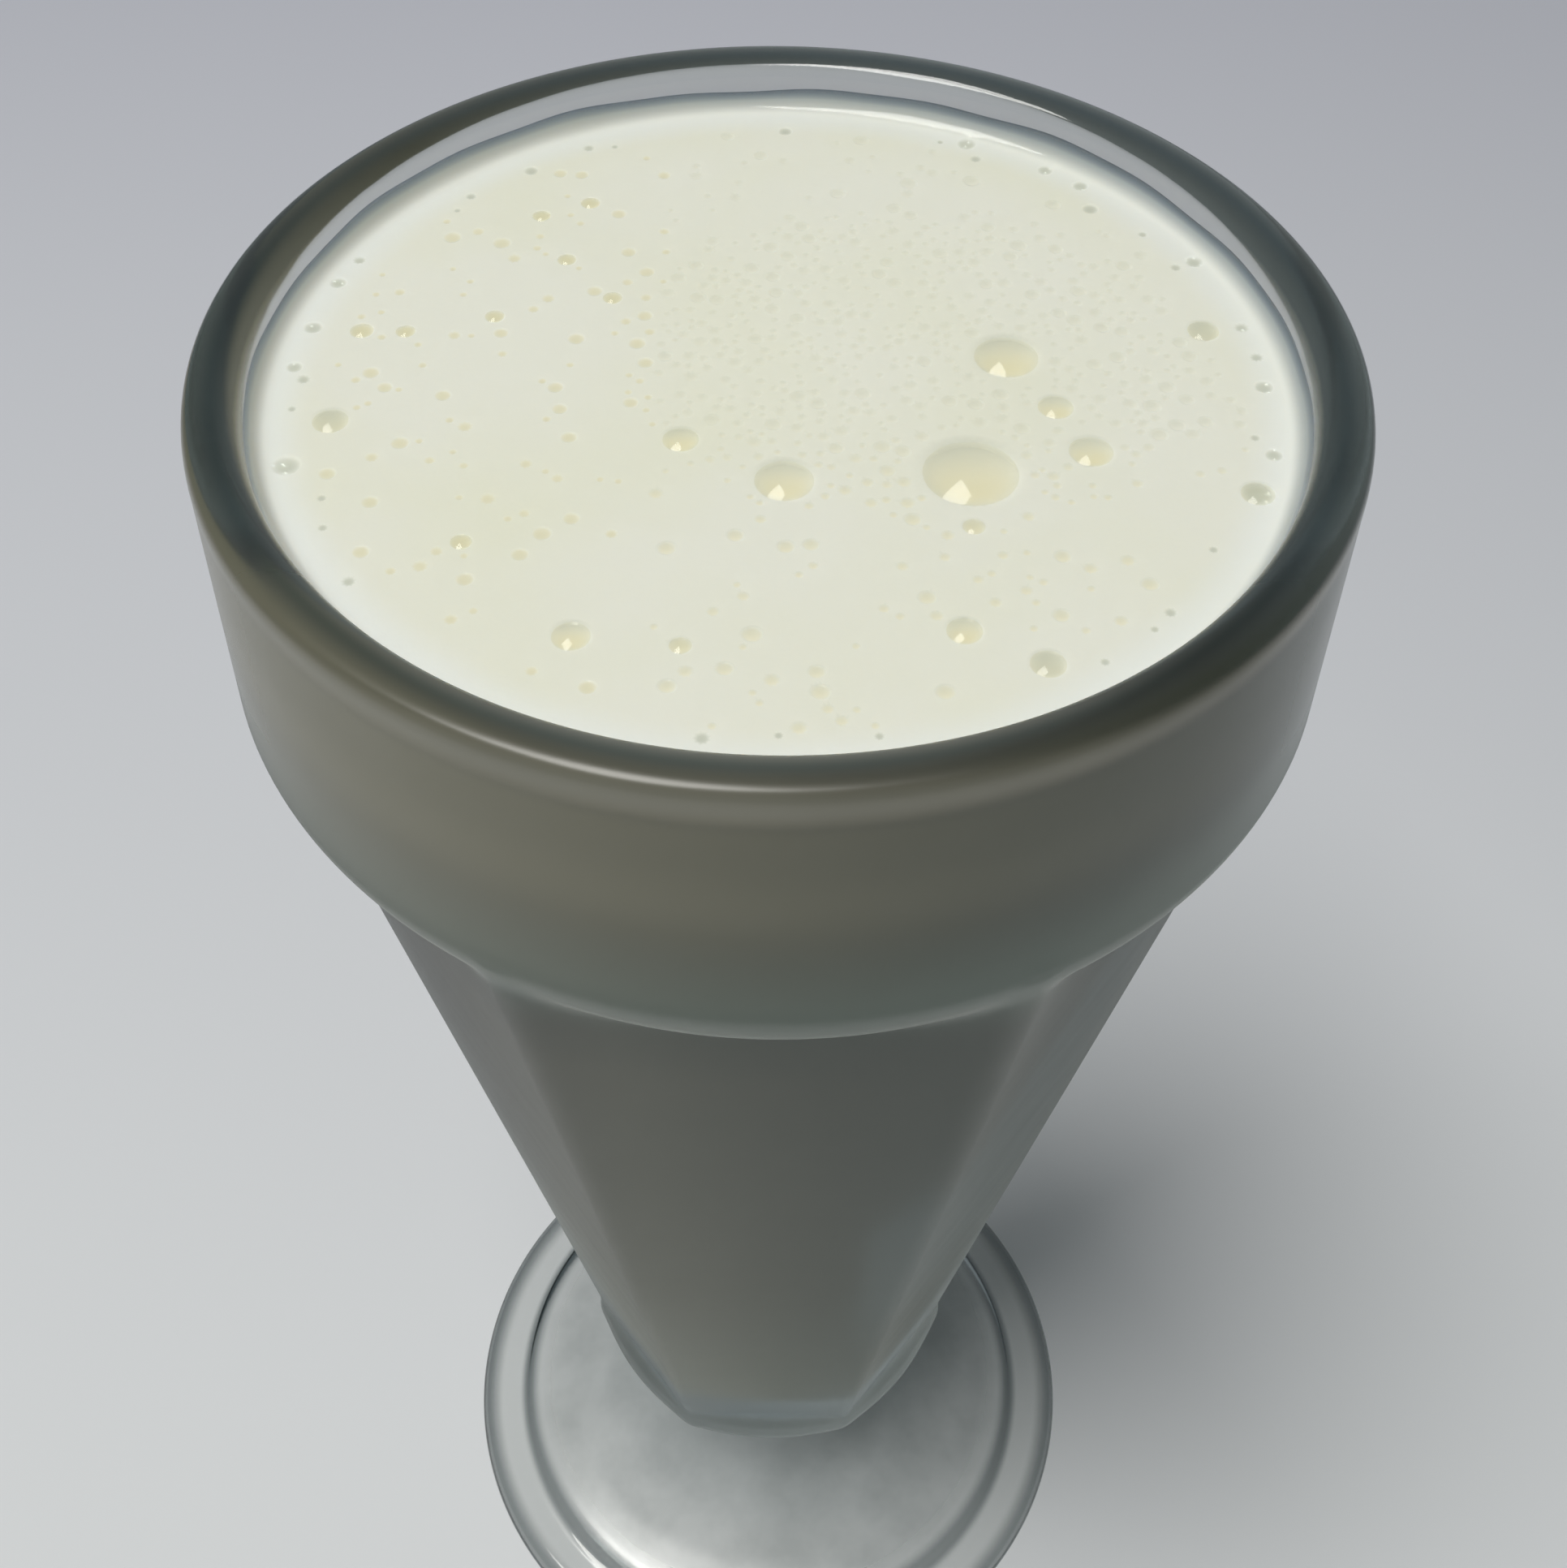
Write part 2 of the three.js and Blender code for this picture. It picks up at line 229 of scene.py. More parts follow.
class GlassShape:
    """The pressed glass in millimetres, worked out from its sizes."""

    def __init__(self, sizes):
        for key in GlassSizes.__annotations__:
            value = getattr(sizes, key)
            setattr(self, key, value if key in ("ridge_growth", "ridge_rounding") else value / MM)
        self.rim_spring = self.height - self.rim_crown
        self.share = math.cos(math.pi / PANELS)

    def ridge_radius(self, z):
        return self.ridge_circle + self.ridge_growth * z

    def wall_radius(self, z):
        """Inner radius of the bowl at a height along the panels."""
        return self.share * self.ridge_radius(z) - self.wall

    def columns(self):
        """Angles of the mesh's columns, closer together over each rounded ridge."""
        half = math.pi / PANELS
        near = math.radians(3.4)
        over_ridge = np.linspace(-near, near, 11)[:-1]
        across_panel = np.linspace(near, 2 * half - near, GLASS_COLUMNS_PER_PANEL - 10 + 1)[:-1]
        one = np.concatenate([over_ridge, across_panel])
        return np.concatenate([FIRST_RIDGE + one + k * 2 * half for k in range(PANELS)])

    def panel_radius(self, angles, z):
        """Radius of the seven-sided body with rounded ridges."""
        half = math.pi / PANELS
        ridge = self.ridge_radius(z)
        rounding = self.ridge_rounding * ridge
        centre = ridge - rounding / self.share
        turn = (angles - FIRST_RIDGE + half) % (2 * half) - half
        arc_reach = math.atan2(rounding * math.sin(half), centre + rounding * math.cos(half))
        flat = ridge * self.share / np.cos(half - np.abs(turn))
        inside = np.maximum(rounding ** 2 - (centre * np.sin(turn)) ** 2, 0)
        arc = centre * np.cos(turn) + np.sqrt(inside)
        return np.where(np.abs(turn) < arc_reach, arc, flat)

    def round_radius(self, z):
        """Radius of the round parts beside the panels: the ledge below and the shoulder and band above."""
        ledge = [(BODY_FOOT, self.ledge_radius - 0.1), (35.6, self.ledge_radius), (37.0, self.ledge_radius - 0.5),
                 (39.0, self.wall_radius(39) + 1), (41.0, 0)]
        if z <= ledge[-1][0]:
            return float(np.interp(z, [h for h, _ in ledge], [r for _, r in ledge]))
        if z < self.shoulder_foot - 4:
            return 0.0
        if z > self.panel_head:
            up_band = (z - self.panel_head) / (self.rim_spring - self.panel_head)
            return self.band_radius + (self.rim_radius + self.rim_half_width - self.band_radius) * up_band
        below = (self.panel_head - z) / (self.panel_head - self.shoulder_foot)
        return self.band_radius - self.shoulder_inset * below ** SHOULDER_POWER

    def outside(self):
        """Points of the round outline, from the middle of the underside up to the rim's outer spring."""
        edge = self.foot_edge / 2
        rounding = 2.5
        flat_end = self.foot_radius - rounding
        points = smooth_curve([(0, 3.4), (20, 2.8), (31, 1.9), (33.9, 1.2), (CONTACT_RADIUS, 0)], 26)
        points += straight((CONTACT_RADIUS, 0), (flat_end, 0), 3)
        points += oval(flat_end, edge, rounding, edge, -math.pi / 2, math.pi / 2, 20)[1:]
        points += smooth_curve([(flat_end, self.foot_edge), (37.0, 4.72), (35.5, 4.9),
                                (self.step_radius, 5.5), (33.0, 6.0), (31.4, 6.35), (28, 7.1), (22, 9.5), (17, 13),
                                (13.6, 17.5), (11.9, 21.6), (self.neck_radius, 25.5), (12.1, 28.6), (14.8, 31),
                                (18.4, 32.4), (20.7, 33.3), (21.4, 34.2)], 96)[1:]
        return points

    def body_heights(self):
        """Heights of the rings up the panels, shoulder and band, close together where the form turns."""
        return np.concatenate([
            np.linspace(BODY_FOOT, 41, 20), np.linspace(44, 146, 16), np.linspace(147, 150, 5),
            np.linspace(150.4, 163.3, 42), np.linspace(165, 180, 6), np.linspace(181.2, self.rim_spring, 3)])

    def inside(self):
        """Points from the rim's outer spring over the rim and down to the middle of the inner floor."""
        place = (self.rim_radius, self.rim_spring, self.rim_half_width, self.rim_crown)
        outer = oval(*place, 0, math.pi / 2, 20, OUTER_RIM_SQUARENESS)
        inner = oval(*place, math.pi / 2, math.pi, 20, INNER_RIM_SQUARENESS)
        return outer[1:] + inner[1:] + self.cavity()[::-1][1:]

    def cavity(self):
        """Points of the bowl's inner wall, from the middle of its floor up to the rim."""
        foot = self.floor_height + self.floor_corner
        corner = oval(self.wall_radius(foot) - self.floor_corner, foot, self.floor_corner, self.floor_corner,
                      -math.pi / 2, 0, 10)
        floor = straight((0, self.floor_height), corner[0], 5)[:-1]
        wall = straight(corner[-1], (self.wall_radius(140), 140), 14)[:-1]
        swell = smooth_curve([(self.wall_radius(140), 140), (self.wall_radius(144), 144), (34.7, 151.5),
                              (37.3, 158.5), (38.8, 167), (38.6, 175), (38.3, self.rim_spring)], 40)
        return [(0, self.floor_height)] + floor + corner + wall + swell

    def cavity_radius(self, z):
        """Inner radius of the bowl at a height on its upper wall."""
        wall = self.cavity()[20:]
        return float(np.interp(z, [h for _, h in wall], [r for r, _ in wall]))


def mesh_piece(name, vertices, faces, node=None):
    """A smooth mesh object from millimetres, which rides on the one body and may replace one of its nodes."""
    mesh = bpy.data.meshes.new(name)
    mesh.from_pydata((np.asarray(vertices, float) * MM).tolist(), [], faces)
    mesh.validate()
    mesh.update()
    piece = bpy.data.objects.new(name, mesh)
    bpy.context.scene.collection.objects.link(piece)
    mesh.polygons.foreach_set("use_smooth", [True] * len(mesh.polygons))
    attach(piece, "root")
    if node:
        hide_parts(node)
    return piece


def ring_faces(first, second, count):
    """Quads between two rings of vertices, given by the index of each ring's first vertex."""
    return [(first + i, first + (i + 1) % count, second + (i + 1) % count, second + i) for i in range(count)]


def point_on_ring(radius, angle, z):
    """A point at a radius and an angle from -Y towards +X."""
    return radius * math.sin(angle), -radius * math.cos(angle), z


def add_node(tree, kind, settings=None, values=None, links=None):
    """Adds a shader node, sets its settings and unlinked values, and links sockets into it."""
    node = tree.nodes.new(kind)
    for key, value in (settings or {}).items():
        setattr(node, key, value)
    for key, value in (values or {}).items():
        node.inputs[key].default_value = value
    for key, source in (links or {}).items():
        tree.links.new(source, node.inputs[key])
    return node


def ramp(tree, source, start, end, low=0.0, high=1.0, smooth=False):
    """A value that runs from low to high while the source runs from start to end."""
    settings = {"interpolation_type": "SMOOTHSTEP"} if smooth else None
    values = {"From Min": start, "From Max": end, "To Min": low, "To Max": high}
    return add_node(tree, "ShaderNodeMapRange", settings, values, {"Value": source}).outputs["Result"]


def calculate(tree, operation, first, second):
    """A sum, product or other result of two values, of which either may be a plain number."""
    inputs = {0: first, 1: second}
    numbers = {key: value for key, value in inputs.items() if isinstance(value, float)}
    sources = {key: value for key, value in inputs.items() if key not in numbers}
    return add_node(tree, "ShaderNodeMath", {"operation": operation}, numbers, sources).outputs["Value"]


def mixed_colour(tree, share, first, second):
    """A colour between two others, each of them a socket or a fixed colour."""
    inputs = {"A": first, "B": second}
    sources = {key: value for key, value in inputs.items() if isinstance(value, bpy.types.NodeSocket)}
    fixed = {key: value for key, value in inputs.items() if key not in sources}
    return add_node(tree, "ShaderNodeMix", {"data_type": "RGBA"}, fixed,
                    {"Factor": share, **sources}).outputs["Result"]


def noise(tree, place, scale, detail, roughness=0.5):
    """Soft random variation between about 0.3 and 0.7."""
    return add_node(tree, "ShaderNodeTexNoise", values={"Scale": scale, "Detail": detail, "Roughness": roughness},
                    links={"Vector": place}).outputs["Fac"]


def distance_from_axis(tree, place):
    """Distance from the glass's upright axis."""
    flat = add_node(tree, "ShaderNodeVectorMath", {"operation": "MULTIPLY"}, {1: (1, 1, 0)}, {0: place})
    return add_node(tree, "ShaderNodeVectorMath", {"operation": "LENGTH"},
                    links={0: flat.outputs["Vector"]}).outputs["Value"]


def new_material(name):
    """An empty node material and its tree."""
    material = bpy.data.materials.new(name)
    material.use_nodes = True
    material.node_tree.nodes.clear()
    return material, material.node_tree


def pressed_soda_lime_glass():
    """Pressed soda-lime glass: IOR 1.52, a faint blue-green where it is thick, and slight waves from the mould."""
    material, tree = new_material("pressed soda-lime glass")
    place = add_node(tree, "ShaderNodeTexCoord").outputs["Object"]
    split = add_node(tree, "ShaderNodeSeparateXYZ", links={"Vector": place}).outputs
    reach = distance_from_axis(tree, place)
    # Mould waves are about 9 mm long and a few hundredths of a millimetre deep.
    bump = add_node(tree, "ShaderNodeBump", values={"Strength": 0.25, "Distance": 0.0004},
                    links={"Height": noise(tree, place, 110, 1.5, 0.4)})
    # A cold drink mists the panels, the neck and the middle of the foot; the band is clearer, most of all behind.
    above = add_node(tree, "ShaderNodeMapRange", values={"From Min": 0.157, "From Max": 0.168, "To Min": 0.48},
                     links={"Value": split["Z"], "To Max": ramp(tree, split["Y"], -0.03, 0.02, 0.3, 0.08)})
    below = ramp(tree, split["Z"], 0.0054, 0.0075, 0.07, 0.5)
    mist = calculate(tree, "MINIMUM", above.outputs["Result"], below)
    # Painted shade: the foot's rounded edge, its step and the rim are darkened into three rings of teal-grey, standing
    # in for the dark look of the thick glass there.
    on_foot = ramp(tree, split["Z"], 0.006, 0.008, 1.0, 0.0)
    at_rim = ramp(tree, split["Z"], 0.181, 0.183)
    painted_ring_shade = None
    for radius, width, zone in ((0.0402, 0.0021, on_foot), (0.0341, 0.0016, on_foot), (0.0401, 0.002, at_rim)):
        distance = calculate(tree, "ABSOLUTE", calculate(tree, "SUBTRACT", reach, radius), 0.0)
        in_zone = calculate(tree, "MULTIPLY", ramp(tree, distance, 0.0, width, 1.0, 0.0, smooth=True), zone)
        painted_ring_shade = in_zone if painted_ring_shade is None else calculate(tree, "MAXIMUM", painted_ring_shade, in_zone)
    # Painted shade: darker grey patches, about 7 mm across, lie on the middle of the foot under the bowl.
    painted_shade_cloud = ramp(tree, noise(tree, place, 140, 3, 0.6), 0.35, 0.65, 0.35, 1.0)
    painted_shade_cloud = calculate(tree, "MULTIPLY", painted_shade_cloud, ramp(tree, reach, 0.03, 0.034, 1.0, 0.0))
    painted_shade_cloud = calculate(tree, "MULTIPLY", painted_shade_cloud, ramp(tree, split["Z"], 0.012, 0.03, 1.0, 0.0))
    tint_with_painted_shade = mixed_colour(tree, painted_shade_cloud, linear("#E9EAE8"), linear("#C4C7C5"))
    painted_ring_tone = mixed_colour(tree, at_rim, linear("#858B8B"), linear("#6C7F87"))
    surface = add_node(tree, "ShaderNodeBsdfPrincipled",
                       values={"IOR": 1.52, "Transmission Weight": 1.0},
                       links={"Base Color": mixed_colour(tree, painted_ring_shade, tint_with_painted_shade, painted_ring_tone),
                              "Normal": bump.outputs["Normal"], "Roughness": mist})
    depth = add_node(tree, "ShaderNodeVolumeAbsorption", values={"Color": linear("#9DBAC0"), "Density": 13})
    add_node(tree, "ShaderNodeOutputMaterial",
             links={"Surface": surface.outputs["BSDF"], "Volume": depth.outputs["Volume"]})
    return material


def fresh_lassi_surface(looks):
    """Stirred yogurt and milk: opaque, softly lit from inside, wet, creamier in drifts; painted glow and shade in
    bubbles and by the wall.
    """
    material, tree = new_material("fresh lassi surface")
    place = add_node(tree, "ShaderNodeTexCoord").outputs["Object"]
    reach = distance_from_axis(tree, place)
    # Drifts of cream are about 20 mm across.
    drift = ramp(tree, noise(tree, place, 45, 3), 0.4, 0.7)
    colour = mixed_colour(tree, drift, tuple(looks.drink), tuple(looks.drink_warm))
    # Towards the wall the thin layer gets a painted sheen, lighter and bluer, then painted shade and a painted
    # reflection of the rim, grey-blue and darker at the contact.
    painted_sheen_by_wall = ramp(tree, reach, 0.0335, 0.0368, 0.0, 0.6, smooth=True)
    colour = mixed_colour(tree, painted_sheen_by_wall, colour, linear("#F2F7F6"))
    colour = mixed_colour(tree, ramp(tree, reach, 0.0370, 0.0384, smooth=True), colour, linear("#8F9AA4"))
    colour = mixed_colour(tree, ramp(tree, reach, 0.0380, 0.0384), colour, linear("#5A636B"))
    # The warm mask lays a painted yellow glow inside bubbles, the shade mask painted shade at their far side and by the
    # wall.
    for mask, tone in (("warm", looks.drink_bubble_glow), ("shade", looks.drink_shade)):
        amount = add_node(tree, "ShaderNodeAttribute", settings={"attribute_name": mask})
        colour = mixed_colour(tree, amount.outputs["Fac"], colour, tuple(tone))
    # Fine curd grain of about 0.4 mm keeps the wet gloss soft; the meniscus is smoother.
    bump = add_node(tree, "ShaderNodeBump", values={"Strength": 0.08, "Distance": 0.0001},
                    links={"Height": noise(tree, place, 2500, 2)})
    # Light spreads about 1.6 mm inside the drink, red the furthest.
    surface = add_node(tree, "ShaderNodeBsdfPrincipled", settings={"subsurface_method": "BURLEY"},
                       values={"IOR": 1.35, "Subsurface Weight": 1.0, "Subsurface Radius": (1.0, 0.85, 0.6),
                               "Subsurface Scale": 0.0016},
                       links={"Base Color": colour, "Normal": bump.outputs["Normal"],
                              "Roughness": ramp(tree, reach, 0.0355, 0.0366, 0.16, 0.05)})
    add_node(tree, "ShaderNodeOutputMaterial", links={"Surface": surface.outputs["BSDF"]})
    return material


def lassi_behind_glass(looks):
    """The drink where it wets the wall: no gloss of its own, because the glass has nearly its IOR; its colour carries
    painted shade and light.
    """
    material, tree = new_material("lassi behind glass")
    place = add_node(tree, "ShaderNodeTexCoord").outputs["Object"]
    split = add_node(tree, "ShaderNodeSeparateXYZ", links={"Vector": place}).outputs
    # Faint streaks of settled drink, drawn out downwards.
    stretch = add_node(tree, "ShaderNodeMapping", values={"Scale": (60, 60, 14)}, links={"Vector": place})
    streak = noise(tree, stretch.outputs["Vector"], 1.0, 4)
    # Its base colour is darker and greyer than fresh lassi, as painted shade on the drink's sides.
    colour = mixed_colour(tree, streak, tuple(looks.drink_wall_in_shade), linear("#A89F88"))
    # Painted shade on the left, painted light low down where the foot throws light back, and painted light behind the
    # shoulder, less behind the band.
    for axis, start, end, tone in (("X", -0.012, -0.028, "#757062"), ("Z", 0.085, 0.042, "#CDC6B4"),
                                   ("Z", 0.149, 0.156, "#F6EED4"), ("Z", 0.160, 0.1685, "#BAB39A")):
        colour = mixed_colour(tree, ramp(tree, split[axis], start, end), colour, linear(tone))
    # A lighter patch low on the right, below a slanting edge that frays by about 3 mm.
    slope = add_node(tree, "ShaderNodeVectorMath", {"operation": "DOT_PRODUCT"}, {1: (2.1, 0.0, -1.0)}, {0: place})
    frayed = calculate(tree, "ADD", calculate(tree, "MULTIPLY", streak, 0.012), slope.outputs["Value"])
    patch = ramp(tree, frayed, -0.082, -0.076, 0.0, 0.55)
    for axis, start, end in (("X", 0.0085, 0.0105), ("Y", 0.0, -0.005), ("Z", 0.058, 0.08)):
        patch = calculate(tree, "MULTIPLY", patch, ramp(tree, split[axis], start, end))
    colour = mixed_colour(tree, patch, colour, linear("#E6E4DC"))
    # Painted light: the top is lighter at the back and on the right, where more light comes through the rim.
    painted_light_share = ramp(tree, calculate(tree, "ADD", split["X"], split["Y"]), 0.0, 0.045)
    behind = calculate(tree, "MULTIPLY", painted_light_share, ramp(tree, split["Z"], 0.150, 0.158))
    colour = mixed_colour(tree, behind, colour, linear("#FAF6EC"))
    # The top edge: painted shade in front, under the thick crown, and painted light behind.
    painted_edge_shade_and_light = mixed_colour(tree, painted_light_share, linear("#8A897E"), linear("#FAF6EC"))
    colour = mixed_colour(tree, ramp(tree, split["Z"], 0.179, 0.181), colour, painted_edge_shade_and_light)
    surface = add_node(tree, "ShaderNodeBsdfPrincipled", values={"Roughness": 0.6, "Specular IOR Level": 0.0},
                       links={"Base Color": colour})
    add_node(tree, "ShaderNodeOutputMaterial", links={"Surface": surface.outputs["BSDF"]})
    return material


def milk_bubble_film():
    """A thin wet film: nearly clear, seen by its reflections at the edge."""
    material, tree = new_material("milk bubble film")
    clear = add_node(tree, "ShaderNodeBsdfTransparent", values={"Color": linear("#FBFAF2")})
    gloss = add_node(tree, "ShaderNodeBsdfGlossy", values={"Color": linear("#FFFFFF"), "Roughness": 0.08})
    facing = add_node(tree, "ShaderNodeFresnel", values={"IOR": 1.34})
    film = add_node(tree, "ShaderNodeMixShader",
                    links={"Fac": facing.outputs["Fac"], 1: clear.outputs["BSDF"], 2: gloss.outputs["BSDF"]})
    add_node(tree, "ShaderNodeOutputMaterial", links={"Surface": film.outputs["Shader"]})
    return material


def matt_table_top(looks):
    """A plain laminate table top: pale, matt, with a tone that drifts very slightly."""
    material, tree = new_material("matt laminate table top")
    place = add_node(tree, "ShaderNodeTexCoord").outputs["Object"]
    colour = mixed_colour(tree, noise(tree, place, 6, 3), tuple(looks.floor), linear("#E8EBF0"))
    # Painted shade: the far part of the table is a little darker and bluer, as the light falls off.
    split = add_node(tree, "ShaderNodeSeparateXYZ", links={"Vector": place}).outputs
    colour = mixed_colour(tree, ramp(tree, split["Y"], -0.05, 0.4), colour, linear("#D5D7E3"))
    surface = add_node(tree, "ShaderNodeBsdfPrincipled", values={"Roughness": 0.7}, links={"Base Color": colour})
    add_node(tree, "ShaderNodeOutputMaterial", links={"Surface": surface.outputs["BSDF"]})
    return material


class LASSI_OT_glass(bpy.types.Operator):
    """Builds the pressed glass: foot, neck, panelled bowl, band, rim and inner wall in one piece."""
    bl_idname = "lassi.glass"
    bl_label = "Glass"

    def execute(self, context):
        shape = GlassShape(context.scene.lassi_glass)
        angles = shape.columns()
        count = len(angles)
        rings = [(np.full(count, radius), z) for radius, z in shape.outside()[1:]]
        for z in shape.body_heights():
            radii = np.full(count, shape.round_radius(z))
            if z < shape.panel_head + 0.8:
                width = shape.blend * float(np.interp(z, SOFTENING_HEIGHTS, SOFTENING))
                radii = softened_max(radii, shape.panel_radius(angles, z), width)
            rings.append((np.minimum(radii, shape.band_radius), z))
        rings += [(np.full(count, radius), z) for radius, z in shape.inside()[:-1]]
        vertices = []
        for radii, z in rings:
            vertices += [point_on_ring(r, a, z) for r, a in zip(radii, angles)]
        faces = []
        for i in range(len(rings) - 1):
            faces += ring_faces(i * count, (i + 1) * count, count)
        bottom = len(vertices)
        vertices.append((0, 0, shape.outside()[0][1]))
        vertices.append((0, 0, shape.floor_height))
        last = (len(rings) - 1) * count
        faces += [(bottom, (i + 1) % count, i) for i in range(count)]
        faces += [(bottom + 1, last + i, last + (i + 1) % count) for i in range(count)]
        piece = mesh_piece("glass_body", vertices, faces, node="glass")
        piece.data.materials.append(pressed_soda_lime_glass())
        # Light reaches the drink and the table once, straight through the glass.
        piece.visible_shadow = False
        piece.visible_diffuse = False
        return {"FINISHED"}


def froth_density(x, y):
    """Share of fine bubbles kept at a place: the froth lies in an oval right of the middle."""
    away = math.hypot((x - 10) / 20, (y - 4) / 17.5)
    return min(1.0, max(0.05, 0.5 + 3 * (1 - away)))


def froth_bubbles(count, seed, taken):
    """Fine bubbles, most of them under half a millimetre, kept clear of each other and of larger ones."""
    random_row = random.Random(seed)

    def cell_of(x, y):
        """The 4 mm cell a place lies in; only bubbles in this cell and those beside it can touch."""
        return int(x // 4), int(y // 4)

    cells = {}
    for bubble in taken:
        cells.setdefault(cell_of(bubble[0], bubble[1]), []).append(bubble)
    made = []
    tries = 0
    while len(made) < count and tries < 60000:
        tries += 1
        reach = FROTH_REACH * math.sqrt(random_row.random())
        angle = random_row.uniform(0, 2 * math.pi)
        x = reach * math.cos(angle)
        y = reach * math.sin(angle)
        radius = 0.28 + 0.34 * random_row.random() ** 1.6
        if random_row.random() > froth_density(x, y):
            continue
        cell = cell_of(x, y)
        near = [b for i in (-1, 0, 1) for j in (-1, 0, 1) for b in cells.get((cell[0] + i, cell[1] + j), [])]
        if all(math.hypot(x - b[0], y - b[1]) > b[2] * 1.18 + radius * 1.2 for b in near):
            bubble = (x, y, radius)
            made.append(bubble)
            cells.setdefault(cell, []).append(bubble)
    return made


def bubble_tone(x, y, radius, share, back):
    """Painted glow and painted shade of a bubble's hollow, at a share of its radius; back is 1 at its far side, -1
    near.
    """
    inside = max(0.0, 1 - share ** 3)
    if radius > LARGE_RADIUS:
        # Large bubbles: painted glow on the near side, painted shade on the far side, and painted shade instead of glow
        # by the wall.
        near_wall = min(1, max(0, (math.hypot(x, y) - 31) / 3))
        warm = inside * min(1, 0.6 - 0.6 * back * share) * (1 - near_wall)
        shade = 0.5 * max(0, back * share) ** 1.5 * (1 - max(0, share - 1) * 4) + 0.75 * near_wall * inside
        return max(0, warm), min(1, max(0, shade))
    # By the wall they get painted shade, on the left a painted yellow glow with some shade, and elsewhere faint painted
    # shade with more painted glow towards the front.
    if math.hypot(x, y) > 34:
        return 0.0, 0.85 * inside
    if x < -9:
        return 0.95 * inside, 0.3 * inside
    in_front = min(1, max(0, (-4 - y) / 8))
    warm = (0.12 + 0.5 * in_front) * inside
    return warm, (0.2 + 0.34 * back * share) * max(0, 1 - 0.5 * share) * (1 if share < 1.2 else 0)


